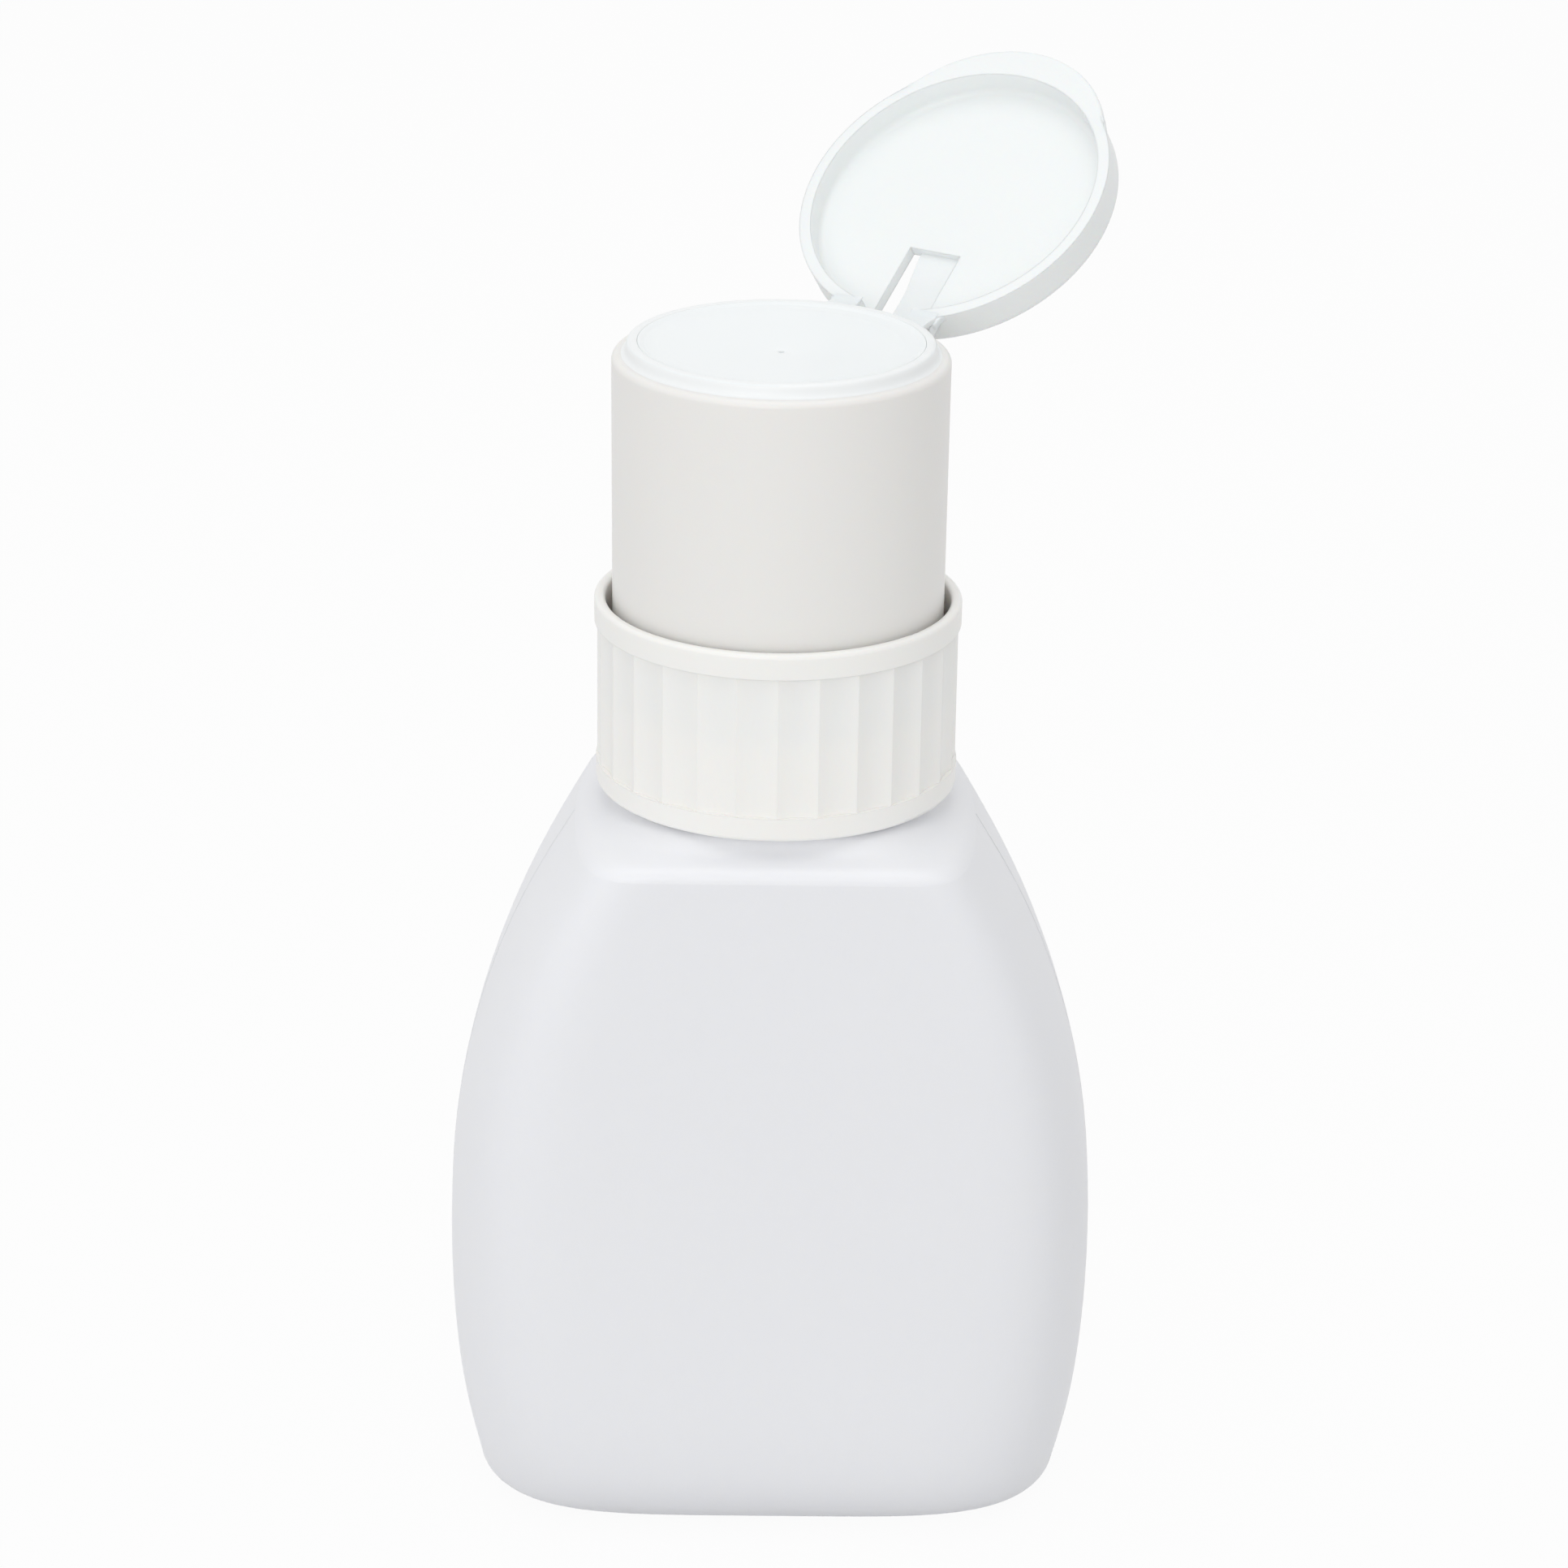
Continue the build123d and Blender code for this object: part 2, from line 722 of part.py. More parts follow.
def hinge_strap():
    """Bowed strap from the sleeve's wall, through the lid's slot, to the slot's far end."""
    turn = math.radians(open_angle)
    along = (-math.cos(turn), math.sin(turn))
    outward = (math.sin(turn), math.cos(turn))
    depth = lid_rim + lid_height - strap_thickness / 2 - hinge_height
    length = slot_length - strap_end_gap
    end = [length * along[i] + depth * outward[i] for i in (0, 1)]
    start = (strap_thickness / 2 - hinge_reach, -strap_anchor_drop)
    middle = [(start[i] + end[i]) / 2 + strap_bow * outward[i] for i in (0, 1)]
    points = [(hinge_radius + x, 0, hinge_height + z) for x, z in (start, middle, end)]
    path = ThreePointArc(*points)
    profile = Plane(path @ 0, x_dir=(0, 1, 0), z_dir=path % 0) * Rectangle(strap_width, strap_thickness)
    root_level = hinge_height - strap_anchor_drop
    root = block(
        (sleeve_top_radius - strap_thickness, sleeve_top_radius + strap_thickness),
        (-strap_width / 2, strap_width / 2),
        (root_level - strap_root_height / 2, root_level + strap_root_height / 2),
    )
    strap = sweep(profile, path=path) + root
    return HINGE_TURN * (strap - rod(sleeve_top_radius, 0, ledge_top))


NODES = [
    bottle,
    collar,
    neck_gasket,
    pump_housing,
    dip_tube,
    inlet_ball,
    valve_cage,
    pump_spring,
    piston_cup,
    piston_rod,
    stem,
    housing_cap,
    stem_wiper,
    head_sleeve,
    dish,
    outlet_ball,
    lid,
    hinge_strap,
]

os.makedirs("parts", exist_ok=True)
for make in NODES:
    shape = make()
    export_step(shape, f"parts/{make.__name__}.step")
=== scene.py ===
import json
import math

import bmesh
import bpy
from mathutils import Matrix, Vector
from mathutils.bvhtree import BVHTree


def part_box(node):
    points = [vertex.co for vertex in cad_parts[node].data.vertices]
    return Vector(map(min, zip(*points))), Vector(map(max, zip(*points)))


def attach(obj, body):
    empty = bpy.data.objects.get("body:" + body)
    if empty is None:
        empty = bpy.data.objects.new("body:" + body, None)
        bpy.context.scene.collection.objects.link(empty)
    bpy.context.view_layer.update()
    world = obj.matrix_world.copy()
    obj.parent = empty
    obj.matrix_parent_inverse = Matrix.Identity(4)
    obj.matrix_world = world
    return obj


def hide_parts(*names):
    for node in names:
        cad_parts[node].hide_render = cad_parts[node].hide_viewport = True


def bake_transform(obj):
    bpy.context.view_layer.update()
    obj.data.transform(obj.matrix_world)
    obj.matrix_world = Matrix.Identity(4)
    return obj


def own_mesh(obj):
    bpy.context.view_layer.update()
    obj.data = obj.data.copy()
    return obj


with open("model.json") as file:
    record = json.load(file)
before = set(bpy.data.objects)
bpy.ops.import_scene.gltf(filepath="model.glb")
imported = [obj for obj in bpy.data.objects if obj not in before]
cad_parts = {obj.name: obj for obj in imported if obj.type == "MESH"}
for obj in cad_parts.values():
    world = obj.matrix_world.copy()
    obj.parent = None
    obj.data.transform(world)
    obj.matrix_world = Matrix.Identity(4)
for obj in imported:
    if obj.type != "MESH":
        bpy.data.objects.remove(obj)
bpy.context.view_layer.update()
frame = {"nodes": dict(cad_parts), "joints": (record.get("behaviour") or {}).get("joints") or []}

MM = 0.001
NODES = frame["nodes"]
JOINTS = {joint["name"]: joint for joint in frame["joints"]}

# Camera, fitted to the photograph
PHOTO_SIDE = 1932
SENSOR_WIDTH = 36.0
FOCAL_PIXELS = 5821.0
CAMERA_DISTANCE = 0.5345
CAMERA_HEIGHT = 0.3038
CAMERA_SIDE = -0.0042
CAMERA_PITCH = 21.54
CAMERA_PAN = 0.558
CAMERA_ROLL = 0.82
CLIP_START = 0.01
CLIP_END = 50.0

# Light
WORLD_LIGHT = 0.745
LAMP_AIM = (0, 0, 0.09)
TOP_LAMP_PLACE = (-0.05, -0.15, 1.3)
TOP_LAMP_SIZE = 1.0
TOP_LAMP_POWER = 3.0
FRONT_LAMP_PLACE = (-0.42, -1.35, 0.5)
FRONT_LAMP_SIZE = 0.9
FRONT_LAMP_POWER = 4.65
FLOOR_HALF_SIDE = 6.0
FLOOR_COLOUR = (0.72, 0.72, 0.72, 1)
FLOOR_WHITE_SHARE = 0.94

# Finish of the plastics and of the steel
LID_COLOUR = (0.865, 0.892, 0.894)
PLASTIC_IOR = 1.49
CLOUD_SCALE = 45.0
SMEAR_SCALE = 90.0
GLOSS_DRIFT = 0.12
GRAIN_SCALE = 2600.0
GRAIN_HEIGHT = 0.00005
STEEL_COLOUR = (0.6, 0.6, 0.61, 1)
STEEL_ROUGHNESS = (0.18, 0.34)
SCRATCH_SCALE = 900.0
SHARP_ANGLE = 40

# Screw thread
NECK_RADIUS = 17.5
COLLAR_BORE_RADIUS = 19.1
THREAD_LOW = 1.6
THREAD_LEAD = 4.23
THREAD_DEPTH = 1.15
THREAD_SINK = 0.2
THREAD_ROOT = 1.5
THREAD_CREST = 0.7
THREAD_TURNS = 1.25
THREAD_FADE = 8  # each end dies away over one eighth of the ridge
THREAD_STEPS_PER_TURN = 96

# Press spring
SPRING_COIL_RADIUS = 4.4
SPRING_WIRE_RADIUS = 0.45
SPRING_TURNS = 6.5
SPRING_STEPS_PER_TURN = 40
SPRING_WIRE_SIDES = 12

# Parting line of the blow moulding
PARTING_CENTRE = 45.0
PARTING_FAR = 120.0
PARTING_TOP_ANGLE = 61.0
PARTING_STEPS = 360
PARTING_SPAN = 2
PARTING_HALF_WIDTH = 0.17
PARTING_CREST_HALF_WIDTH = 0.05
PARTING_HEIGHT = 0.06
PARTING_SINK = 0.15

# Face of the dish: (radius, height over the sleeve's ledge), from the outlet outwards
DISH_FACE = (
    (0.35, -0.9), (0.35, 0.05), (0.4, 0.16), (0.6, 0.22), (2.0, 0.27), (6.0, 0.5), (10.0, 0.78),
    (13.9, 1.06), (14.15, 1.08), (14.35, 1.12), (14.55, 1.13), (14.8, 1.12), (15.2, 1.15),
    (16.1, 1.22), (16.3, 1.27), (16.5, 1.38), (16.75, 1.47), (16.93, 1.5), (16.97, 1.44), (16.97, 1.0),
    (14.0, 0.5), (2.5, -0.3), (1.1, -0.9),
)
DISH_RIM = (
    (17.0, 0.9), (17.0, 1.45), (17.04, 1.51), (17.3, 1.55), (17.65, 1.56),
    (17.92, 1.52), (18.1, 1.42), (18.22, 1.26), (18.27, 1.05), (18.29, 0.75), (18.33, 0.45),
    (18.42, 0.22), (18.56, 0.08), (18.75, 0.02), (18.95, -0.01), (18.95, -0.1), (17.9, -0.1), (17.9, 0.9),
)
DISH_FACE_STEPS = 224

# Flip hinge, in its own frame: across from the pump's axis, and up
LID_RIM_OVER_HINGE = 0.4
LID_TOP_OVER_HINGE = 5.1
LID_RADIUS = 20.0
HINGE_RADIUS = 20.3
OPEN_ANGLE = 141.5
SLOT_LENGTH = 13.1
STRAP_SIDES = (-3.4, 2.4)
STRAP_THICKNESS = 0.6
STRAP_FOOT = (0.1, -3.6)
STRAP_LOOP = ((2.6, -3.7), (5.4, -2.9))
STRAP_END_SINK = 0.3
STRAP_IN_SLOT = ((7.2, 1.15), (10.0, 0.6), (12.0, 0.15), (SLOT_LENGTH + STRAP_END_SINK, 0))
STRAP_EDGE = 0.15
STRAP_STEPS = 56
FILM_SIDES = (3.7, 7.45)
FILM_ON_SHELF = ((-2.4, -0.02), (-1.5, 0.02), (-0.8, 0.12), (-0.2, 0.24), (0.3, 0.27))
FILM_ON_LID = ((1.2, 0.1), (2.0, 0.18), (2.6, 0.28))
FILM_SWELL = 3.2
FILM_THICKNESS = 0.2
FILM_STEPS = 36
CURVE_STEPS = 40
TAB_RADIUS = 16.5
TAB_REACH = 2.5
TAB_THICKNESS = 1.3
TAB_BLEND_RADIUS = 30.0
TAB_BLEND_DEPTH = 0.93
TAB_BLEND_STEPS = 32
EAR_THICKNESS = 0.9
EAR_OUTLINE = (
    (0.5, 3.8), (0.5, 7.3), (0.58, 7.6), (0.8, 7.75), (1.3, 7.8), (1.8, 8.0), (2.2, 8.4), (2.6, 9.0),
    (3.1, 9.9), (3.5, 9.2), (2.95, 7.6), (2.4, 6.0), (1.95, 3.8),
)
WEB_EDGE = 0.2
WEB_EDGE_SHARE = 0.3
WEB_SINK = 0.04


def link(nodes, start, end):
    nodes.id_data.links.new(start, end)


def add_node(nodes, kind, **values):
    """Shader node with its sockets or properties set by name."""
    node = nodes.new(kind)
    for name, value in values.items():
        label = name.replace("_", " ").title()
        if label in node.inputs:
            node.inputs[label].default_value = value
        else:
            setattr(node, name, value)
    return node


def plastic(
    name, colour, roughness, grain=0.25, mottle=0.01, scatter=0.0, radius=(1, 1, 1), edge=0.0
):
    """Moulded plastic: faint uneven colour, uneven gloss, a fine moulded grain and softened edges."""
    material = bpy.data.materials.new(name)
    material.use_nodes = True
    nodes = material.node_tree.nodes
    shader = nodes["Principled BSDF"]
    shader.inputs["IOR"].default_value = PLASTIC_IOR
    shader.inputs["Subsurface Weight"].default_value = scatter
    shader.inputs["Subsurface Radius"].default_value = radius
    shader.inputs["Subsurface Scale"].default_value = MM
    place = add_node(nodes, "ShaderNodeTexCoord")
    # slow drift of colour, as pigment flows in the mould
    cloud = add_node(nodes, "ShaderNodeTexNoise", scale=CLOUD_SCALE, detail=3.0)
    link(nodes, place.outputs["Object"], cloud.inputs["Vector"])
    tint = add_node(nodes, "ShaderNodeMix", data_type="RGBA")
    factor, darker, lighter = tint.inputs[0], tint.inputs[6], tint.inputs[7]
    darker.default_value = (*[channel * (1 - mottle) for channel in colour], 1)
    lighter.default_value = (*[min(1.0, channel * (1 + mottle)) for channel in colour], 1)
    link(nodes, cloud.outputs["Fac"], factor)
    link(nodes, tint.outputs[2], shader.inputs["Base Color"])
    # gloss drifts a little across the surface
    smear = add_node(nodes, "ShaderNodeTexNoise", scale=SMEAR_SCALE, detail=4.0)
    link(nodes, place.outputs["Object"], smear.inputs["Vector"])
    least, most = roughness * (1 - GLOSS_DRIFT), roughness * (1 + GLOSS_DRIFT)
    gloss = add_node(nodes, "ShaderNodeMapRange", to_min=least, to_max=most)
    link(nodes, smear.outputs["Fac"], gloss.inputs["Value"])
    link(nodes, gloss.outputs["Result"], shader.inputs["Roughness"])
    # fine moulded grain
    fine = add_node(nodes, "ShaderNodeTexNoise", scale=GRAIN_SCALE, detail=2.0)
    link(nodes, place.outputs["Object"], fine.inputs["Vector"])
    bump = add_node(nodes, "ShaderNodeBump", strength=grain, distance=GRAIN_HEIGHT)
    link(nodes, fine.outputs["Fac"], bump.inputs["Height"])
    link(nodes, bump.outputs["Normal"], shader.inputs["Normal"])
    if edge:
        soften = add_node(nodes, "ShaderNodeBevel", radius=edge * MM)
        link(nodes, soften.outputs["Normal"], bump.inputs["Normal"])
    return material


def steel(name):
    """Drawn stainless wire with fine lengthwise scratches."""
    material = bpy.data.materials.new(name)
    material.use_nodes = True
    nodes = material.node_tree.nodes
    shader = nodes["Principled BSDF"]
    shader.inputs["Metallic"].default_value = 1.0
    shader.inputs["Base Color"].default_value = STEEL_COLOUR
    place = add_node(nodes, "ShaderNodeTexCoord")
    scratch = add_node(nodes, "ShaderNodeTexNoise", scale=SCRATCH_SCALE, detail=3.0)
    link(nodes, place.outputs["Object"], scratch.inputs["Vector"])
    least, most = STEEL_ROUGHNESS
    gloss = add_node(nodes, "ShaderNodeMapRange", to_min=least, to_max=most)
    link(nodes, scratch.outputs["Fac"], gloss.inputs["Value"])
    link(nodes, gloss.outputs["Result"], shader.inputs["Roughness"])
    return material


def make_materials():
    milky = (3.0, 3.2, 4.0)
    warm = (2.2, 1.4, 0.9)
    clean = (1.6, 1.4, 1.2)
    return {
        "bottle": plastic(
            "milky_bottle", (0.88, 0.892, 0.94), 0.4, mottle=0.006, scatter=0.25, radius=milky
        ),
        "collar": plastic("collar_white", (0.92, 0.912, 0.885), 0.36, scatter=0.12, radius=warm, edge=0.12),
        "head": plastic("head_white", (0.85, 0.835, 0.812), 0.38, scatter=0.15, radius=warm, edge=0.15),
        "lid": plastic("lid_white", LID_COLOUR, 0.36, scatter=0.15, radius=warm, edge=0.35),
        "hinge": plastic("hinge_white", LID_COLOUR, 0.36, scatter=0.15, radius=warm),
        "dish": plastic("dish_white", (0.915, 0.945, 0.95), 0.32, grain=0.15, scatter=0.1, radius=clean),
        "rim": plastic("rim_white", (0.908, 0.925, 0.926), 0.34, grain=0.15, scatter=0.1, radius=clean),
        "pump": plastic("pump_natural", (0.8, 0.81, 0.82), 0.33, grain=0.2),
        "tube": plastic("tube_natural", (0.78, 0.79, 0.81), 0.35, grain=0.15),
        "soft": plastic("soft_natural", (0.75, 0.76, 0.78), 0.45, grain=0.2),
        "gasket": plastic("gasket_foam", (0.72, 0.71, 0.69), 0.75, grain=1.0, mottle=0.05),
        "steel": steel("bright_steel"),
    }


def new_piece(name, shape, material):
    """Object made from a finished bmesh, with its material."""
    bmesh.ops.recalc_face_normals(shape, faces=shape.faces)
    mesh = bpy.data.meshes.new(name)
    shape.to_mesh(mesh)
    shape.free()
    mesh.materials.append(material)
    mesh.polygons.foreach_set("use_smooth", [True] * len(mesh.polygons))
    mesh.set_sharp_from_angle(angle=math.radians(SHARP_ANGLE))
    piece = bpy.data.objects.new(name, mesh)
    bpy.context.scene.collection.objects.link(piece)
    return piece


def skin(shape, rows, closed=False):
    """Faces between rows of vertices, each row a closed loop; the end rows are capped unless it closes."""
    pairs = list(zip(rows, rows[1:]))
    if closed:
        pairs.append((rows[-1], rows[0]))
    for row, following in pairs:
        count = len(row)
        for corner in range(count):
            after = (corner + 1) % count
            shape.faces.new((row[corner], row[after], following[after], following[corner]))
    if not closed:
        shape.faces.new(list(reversed(rows[0])))
        shape.faces.new(rows[-1])


def thread_ridge(name, base_radius, outward, start_height, body, material):
    """One screw ridge on a wall: a helix with a trapezoid section that dies away at both ends."""
    shape = bmesh.new()
    count = int(THREAD_TURNS * THREAD_STEPS_PER_TURN)
    rows = []
    for index in range(count + 1):
        share = index / count
        angle = 2 * math.pi * THREAD_TURNS * share
        level = start_height + THREAD_LEAD * THREAD_TURNS * share
        fade = min(1.0, THREAD_FADE * share, THREAD_FADE * (1 - share))
        fade = fade * fade * (3 - 2 * fade)
        crest = base_radius + outward * THREAD_DEPTH * fade
        root = base_radius - outward * THREAD_SINK
        corners = (
            (root, -THREAD_ROOT / 2),
            (crest, -THREAD_CREST / 2),
            (crest, THREAD_CREST / 2),
            (root, THREAD_ROOT / 2),
        )
        row = []
        for radius, rise in corners:
            point = Vector((radius * math.cos(angle), radius * math.sin(angle), level + rise))
            row.append(shape.verts.new(point * MM))
        rows.append(row)
    skin(shape, rows)
    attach(new_piece(name, shape, material), body)


def make_threads(materials):
    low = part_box("collar")[0].z / MM + THREAD_LOW
    middle = low + THREAD_LEAD / 2
    bottle, collar = materials["bottle"], materials["collar"]
    thread_ridge("neck_thread", NECK_RADIUS, 1, middle, "bottle", bottle)
    thread_ridge("collar_thread", COLLAR_BORE_RADIUS, -1, low, "collar", collar)


def make_spring(material):
    """Press spring, coiled at its rest length over the height of the spring part."""
    low, high = (corner.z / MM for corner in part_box("pump_spring"))
    rise = high - low - 2 * SPRING_WIRE_RADIUS
    count = int(SPRING_TURNS * SPRING_STEPS_PER_TURN)
    slope = rise / (2 * math.pi * SPRING_TURNS * SPRING_COIL_RADIUS)
    shape = bmesh.new()
    rows = []
    for index in range(count + 1):
        angle = 2 * math.pi * SPRING_TURNS * index / count
        outward = Vector((math.cos(angle), math.sin(angle), 0))
        along = Vector((-math.sin(angle), math.cos(angle), slope)).normalized()
        upward = outward.cross(along)
        level = low + SPRING_WIRE_RADIUS + rise * index / count
        centre = outward * SPRING_COIL_RADIUS + Vector((0, 0, level))
        row = []
        for side in range(SPRING_WIRE_SIDES):
            turn = 2 * math.pi * side / SPRING_WIRE_SIDES
            point = centre + (outward * math.cos(turn) + upward * math.sin(turn)) * SPRING_WIRE_RADIUS
            row.append(shape.verts.new(point * MM))
        rows.append(row)
    skin(shape, rows)
    spring = new_piece("press_spring", shape, material)
    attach(spring, "pump")
    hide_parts("pump_spring")
    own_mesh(spring)


def make_parting_line(material):
    """Fine flash ridge where the two mould halves met: down one side, across the base and up the other."""
    mesh = NODES["bottle"].data
    tree = BVHTree.FromPolygons([v.co for v in mesh.vertices], [p.vertices for p in mesh.polygons])
    centre = Vector((0, 0, PARTING_CENTRE * MM))
    turn = math.radians(180 + 2 * PARTING_TOP_ANGLE)
    path = []
    for index in range(PARTING_STEPS + 1):
        angle = math.radians(PARTING_TOP_ANGLE) - turn * index / PARTING_STEPS
        ray = Vector((math.cos(angle), 0, math.sin(angle)))
        hit = tree.ray_cast(centre + ray * PARTING_FAR * MM, -ray)[0]
        path.append(hit)
    shape = bmesh.new()
    rows = []
    for index, point in enumerate(path):
        before = path[max(0, index - PARTING_SPAN)]
        after = path[min(PARTING_STEPS, index + PARTING_SPAN)]
        along = (after - before).normalized()
        outward = Vector((-along.z, 0, along.x))
        if outward.dot(point - centre) < 0:
            outward.negate()
        corners = (
            (-PARTING_HALF_WIDTH, -PARTING_SINK),
            (-PARTING_HALF_WIDTH, 0),
            (-PARTING_CREST_HALF_WIDTH, PARTING_HEIGHT),
            (PARTING_CREST_HALF_WIDTH, PARTING_HEIGHT),
            (PARTING_HALF_WIDTH, 0),
            (PARTING_HALF_WIDTH, -PARTING_SINK),
        )
        row = []
        for side, rise in corners:
            corner = point + Vector((0, side * MM, 0)) + outward * rise * MM
            corner.z = max(corner.z, 0)
            row.append(shape.verts.new(corner))
        rows.append(row)
    skin(shape, rows)
    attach(new_piece("parting_line", shape, material), "bottle")


def turned_ring(name, profile, material):
    """Ring turned from a closed profile about the pump's axis, level with the sleeve's ledge."""
    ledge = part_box("head_sleeve")[1].z / MM
    shape = bmesh.new()
    rows = []
    for index in range(DISH_FACE_STEPS):
        angle = 2 * math.pi * index / DISH_FACE_STEPS
        row = []
        for radius, rise in profile:
            point = Vector((radius * math.cos(angle), radius * math.sin(angle), ledge + rise))
            row.append(shape.verts.new(point * MM))
        rows.append(row)
    skin(shape, rows, closed=True)
    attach(new_piece(name, shape, material), "head")


def make_dish_face(materials):
    """Moulded face of the dish: outlet bush, faint ring, fine joint line, rim and the cove at the ledge."""
    turned_ring("dish_face", DISH_FACE, materials["dish"])
    turned_ring("dish_rim", DISH_RIM, materials["rim"])


def hinge_frame():
    """Matrix from the hinge's own frame, in millimetres, to the row frame."""
    joint = JOINTS["lid_hinge"]
    line = Vector(joint["axis"]).normalized()
    up = Vector((0, 0, 1))
    across = line.cross(up)
    turn = Matrix((across, line, up)).transposed().to_4x4()
    return Matrix.Translation(joint["pos_m"]) @ turn @ Matrix.Scale(MM, 4)


def opened(x, z):
    """Point of the shut lid, in the hinge's frame, swung to the open rest pose."""
    turn = math.radians(OPEN_ANGLE)
    return (x * math.cos(turn) + z * math.sin(turn), -x * math.sin(turn) + z * math.cos(turn))


def smooth_path(points, count):
    """Evenly spaced points and their directions along a smooth curve through the given points."""
    ends = [2 * Vector(points[0]) - Vector(points[1]), 2 * Vector(points[-1]) - Vector(points[-2])]
    knots = [ends[0], *[Vector(point) for point in points], ends[1]]
    dense = []
    for a, b, c, d in zip(knots, knots[1:], knots[2:], knots[3:]):
        for step in range(CURVE_STEPS):
            t = step / CURVE_STEPS
            point = (2 * b) + (c - a) * t
            point += (2 * a - 5 * b + 4 * c - d) * t * t
            point += (3 * b - a - 3 * c + d) * t**3
            dense.append(0.5 * point)
    dense.append(knots[-2])
    lengths = [0.0]
    for start, end in zip(dense, dense[1:]):
        lengths.append(lengths[-1] + (end - start).length)
    path = []
    piece = 0
    for index in range(count + 1):
        target = lengths[-1] * index / count
        while piece < len(dense) - 2 and lengths[piece + 1] < target:
            piece += 1
        start, end = dense[piece], dense[piece + 1]
        share = (target - lengths[piece]) / (lengths[piece + 1] - lengths[piece])
        path.append((start.lerp(end, share), (end - start).normalized()))
    return path


def band(name, points, low_side, high_side, thickness, edge, steps, material, middle_swell=1.0):
    """Flexible band along a path in the hinge's frame, with rounded edges."""
    to_row = hinge_frame()
    shape = bmesh.new()
    rows = []
    half = thickness / 2
    corners = (
        (low_side + edge, -half),
        (low_side, -half + edge),
        (low_side, half - edge),
        (low_side + edge, half),
        (high_side - edge, half),
        (high_side, half - edge),
        (high_side, -half + edge),
        (high_side - edge, -half),
    )
    for index, (place, along) in enumerate(smooth_path(points, steps)):
        swell = 1 + (middle_swell - 1) * math.sin(math.pi * index / steps)
        row = []
        for side, rise in corners:
            rise *= swell
            point = Vector((place.x - along.y * rise, side, place.y + along.x * rise))
            row.append(shape.verts.new(to_row @ point))
        rows.append(row)
    skin(shape, rows)
    return new_piece(name, shape, material)


def make_strap(material):
    """Centre strap of the flip hinge, shaped for the open lid; it crosses the joint."""
    depth = LID_TOP_OVER_HINGE - STRAP_THICKNESS / 2
    points = [STRAP_FOOT, *STRAP_LOOP]
    for back, lift in STRAP_IN_SLOT:
        points.append(opened(-back, depth + lift))
    strap = band(
        "bending_strap",
        points,
        *STRAP_SIDES,
        STRAP_THICKNESS,
        STRAP_EDGE,
        STRAP_STEPS,
        material,
    )
    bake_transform(strap)
    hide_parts("hinge_strap")


def make_films(material):
    """Two thin films that join the sleeve's shelf and the lid's rim along the hinge line."""
    rim = LID_RIM_OVER_HINGE - FILM_THICKNESS / 2
    points = [*FILM_ON_SHELF, *(opened(-back, rim + lift) for back, lift in FILM_ON_LID)]
    low, high = FILM_SIDES
    for name, sides in (("film_left", (low, high)), ("film_right", (-high, -low))):
        edge = FILM_THICKNESS / 4
        film = band(name, points, *sides, FILM_THICKNESS, edge, FILM_STEPS, material, FILM_SWELL)
        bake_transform(film)


def blend_outline():
    """Corner between the lid's edge and its tab, filled by an arc that is tangent to both."""
    tab_offset = LID_RADIUS + TAB_REACH - TAB_RADIUS
    lid_gap = LID_RADIUS + TAB_BLEND_RADIUS
    tab_gap = TAB_RADIUS + TAB_BLEND_RADIUS
    along = (lid_gap**2 - tab_gap**2 + tab_offset**2) / (2 * tab_offset)
    middle = Vector((along, math.sqrt(lid_gap**2 - along**2)))
    lid_touch = middle * (LID_RADIUS / lid_gap)
    tab_middle = Vector((tab_offset, 0))
    tab_touch = tab_middle + (middle - tab_middle) * (TAB_RADIUS / tab_gap)
    first = math.atan2(*(lid_touch - middle).yx)
    last = math.atan2(*(tab_touch - middle).yx)
    if last - first > math.pi:
        last -= 2 * math.pi
    if first - last > math.pi:
        last += 2 * math.pi
    arc = []
    for index in range(TAB_BLEND_STEPS + 1):
        angle = first + (last - first) * index / TAB_BLEND_STEPS
        arc.append(middle + TAB_BLEND_RADIUS * Vector((math.cos(angle), math.sin(angle))))
    return arc


def lid_web(name, outline, side, thickness, material):
    """Small web of the lid, level with its rim; the outline is (away from the hinge line, sideways)."""
    to_row = hinge_frame()
    middle = sum(outline, Vector((0, 0))) / len(outline)
    layers = (
        (WEB_EDGE, 0),
        (WEB_EDGE * WEB_EDGE_SHARE, WEB_EDGE * WEB_EDGE_SHARE),
        (0, WEB_EDGE),
        (0, thickness - WEB_EDGE),
        (WEB_EDGE * WEB_EDGE_SHARE, thickness - WEB_EDGE * WEB_EDGE_SHARE),
        (WEB_EDGE, thickness),
    )
    shape = bmesh.new()
    rows = []
    for inset, rise in layers:
        row = []
        for point in outline:
            flat = point + (middle - point).normalized() * inset
            x, z = opened(-flat.x, LID_RIM_OVER_HINGE + WEB_SINK + rise)
            row.append(shape.verts.new(to_row @ Vector((x, side * flat.y, z))))
        rows.append(row)
    skin(shape, rows)
    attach(new_piece(name, shape, material), "lid")


def make_lid_webs(material):
    """Webs that run the thumb tab smoothly into the rim, and the wide ends of the two hinge ears."""
    arc = blend_outline()
    corner = (arc[0] + arc[-1]) / 2 * TAB_BLEND_DEPTH
    blend = [point + Vector((HINGE_RADIUS, 0)) for point in (corner, *arc)]
    ear = [Vector(point) for point in EAR_OUTLINE]
    for label, side in (("left", 1), ("right", -1)):
        lid_web("tab_blend_" + label, blend, side, TAB_THICKNESS, material)
        lid_web("hinge_ear_" + label, ear, side, EAR_THICKNESS, material)


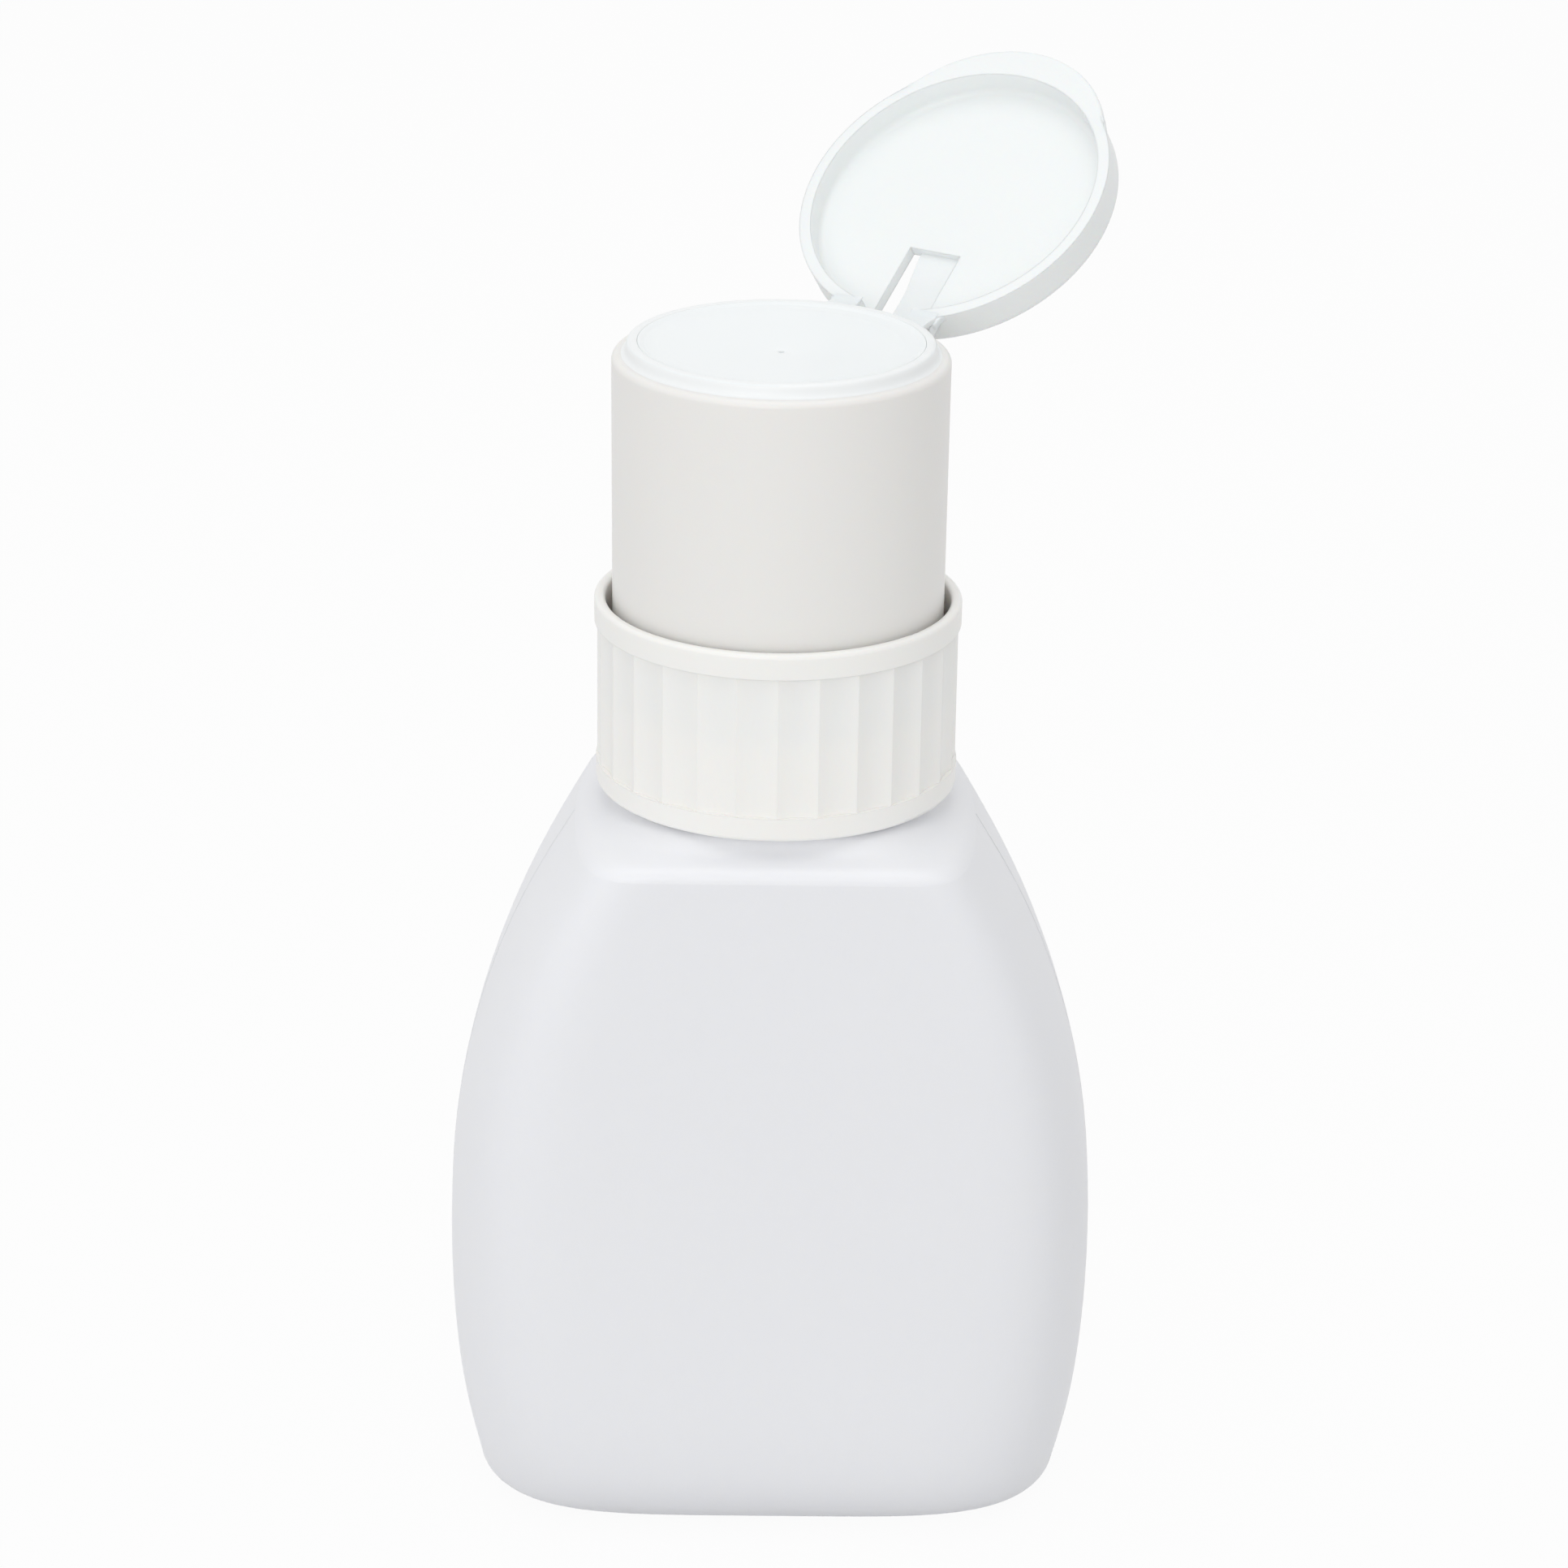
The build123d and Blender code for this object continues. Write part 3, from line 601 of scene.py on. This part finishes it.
def paint_nodes(materials):
    groups = {
        "bottle": ["bottle"],
        "collar": ["collar"],
        "head": ["head_sleeve", "hinge_strap"],
        "lid": ["lid"],
        "dish": ["dish"],
        "pump": ["pump_housing", "housing_cap", "valve_cage", "stem", "piston_rod"],
        "tube": ["dip_tube"],
        "soft": ["piston_cup", "stem_wiper"],
        "gasket": ["neck_gasket"],
        "steel": ["pump_spring", "inlet_ball", "outlet_ball"],
    }
    for finish, members in groups.items():
        for node in members:
            mesh = NODES[node].data
            mesh.materials.clear()
            mesh.materials.append(materials[finish])


def background_rays(nodes):
    """1 for rays that show the background, straight or in a reflection, and 0 for the others."""
    ray = add_node(nodes, "ShaderNodeLightPath")
    either = add_node(nodes, "ShaderNodeMath", operation="MAXIMUM")
    link(nodes, ray.outputs["Is Camera Ray"], either.inputs[0])
    link(nodes, ray.outputs["Is Glossy Ray"], either.inputs[1])
    return either.outputs[0]


def make_floor():
    """Plain pale floor, seen as white and still catching the object's shadow."""
    mesh = bpy.data.meshes.new("floor")
    half = FLOOR_HALF_SIDE
    corners = [(-half, -half, 0), (half, -half, 0), (half, half, 0), (-half, half, 0)]
    mesh.from_pydata(corners, [], [(0, 1, 2, 3)])
    floor = bpy.data.objects.new("floor", mesh)
    bpy.context.scene.collection.objects.link(floor)
    material = bpy.data.materials.new("floor")
    material.use_nodes = True
    nodes = material.node_tree.nodes
    nodes.clear()
    out = add_node(nodes, "ShaderNodeOutputMaterial")
    diffuse = add_node(nodes, "ShaderNodeBsdfDiffuse", color=FLOOR_COLOUR)
    glow = add_node(nodes, "ShaderNodeEmission", color=(1, 1, 1, 1), strength=1.0)
    share = add_node(nodes, "ShaderNodeMath", operation="MULTIPLY")
    share.inputs[1].default_value = FLOOR_WHITE_SHARE
    link(nodes, background_rays(nodes), share.inputs[0])
    mixed = add_node(nodes, "ShaderNodeMixShader")
    link(nodes, share.outputs[0], mixed.inputs[0])
    link(nodes, diffuse.outputs[0], mixed.inputs[1])
    link(nodes, glow.outputs[0], mixed.inputs[2])
    link(nodes, mixed.outputs[0], out.inputs["Surface"])
    mesh.materials.append(material)


def make_world():
    world = bpy.data.worlds.new("studio")
    bpy.context.scene.world = world
    world.use_nodes = True
    nodes = world.node_tree.nodes
    nodes.clear()
    out = add_node(nodes, "ShaderNodeOutputWorld")
    light = add_node(nodes, "ShaderNodeBackground", color=(1, 1, 1, 1), strength=WORLD_LIGHT)
    seen = add_node(nodes, "ShaderNodeBackground", color=(1, 1, 1, 1), strength=1.0)
    mixed = add_node(nodes, "ShaderNodeMixShader")
    link(nodes, background_rays(nodes), mixed.inputs[0])
    link(nodes, light.outputs[0], mixed.inputs[1])
    link(nodes, seen.outputs[0], mixed.inputs[2])
    link(nodes, mixed.outputs[0], out.inputs["Surface"])


def make_lamp(name, place, aim, size, power):
    lamp = bpy.data.lights.new(name, "AREA")
    lamp.size = size
    lamp.energy = power
    holder = bpy.data.objects.new(name, lamp)
    holder.location = place
    holder.rotation_euler = (Vector(aim) - Vector(place)).to_track_quat("-Z", "Y").to_euler()
    bpy.context.scene.collection.objects.link(holder)


def make_lights():
    make_lamp("top_softbox", TOP_LAMP_PLACE, LAMP_AIM, TOP_LAMP_SIZE, TOP_LAMP_POWER)
    make_lamp("front_softbox", FRONT_LAMP_PLACE, LAMP_AIM, FRONT_LAMP_SIZE, FRONT_LAMP_POWER)


def make_camera():
    pitch = math.radians(CAMERA_PITCH)
    pan = math.radians(CAMERA_PAN)
    roll = math.radians(CAMERA_ROLL)
    level = math.cos(pitch)
    forward = Vector((math.sin(pan) * level, math.cos(pan) * level, -math.sin(pitch)))
    right = forward.cross(Vector((0, 0, 1))).normalized()
    up = right.cross(forward)
    rolled_right = right * math.cos(roll) + up * math.sin(roll)
    rolled_up = up * math.cos(roll) - right * math.sin(roll)
    lens = bpy.data.cameras.new("camera")
    lens.sensor_width = SENSOR_WIDTH
    lens.lens = FOCAL_PIXELS / PHOTO_SIDE * SENSOR_WIDTH
    lens.clip_start = CLIP_START
    lens.clip_end = CLIP_END
    camera = bpy.data.objects.new("camera", lens)
    turn = Matrix((rolled_right, rolled_up, -forward)).transposed()
    place = Matrix.Translation((CAMERA_SIDE, -CAMERA_DISTANCE, CAMERA_HEIGHT))
    camera.matrix_world = place @ turn.to_4x4()
    bpy.context.scene.collection.objects.link(camera)
    bpy.context.scene.camera = camera


def main():
    materials = make_materials()
    paint_nodes(materials)
    make_threads(materials)
    make_spring(materials["steel"])
    make_parting_line(materials["bottle"])
    make_dish_face(materials)
    make_strap(materials["hinge"])
    make_films(materials["hinge"])
    make_lid_webs(materials["hinge"])
    make_floor()
    make_world()
    make_lights()
    make_camera()
    bpy.context.scene.view_settings.view_transform = "Standard"


main()
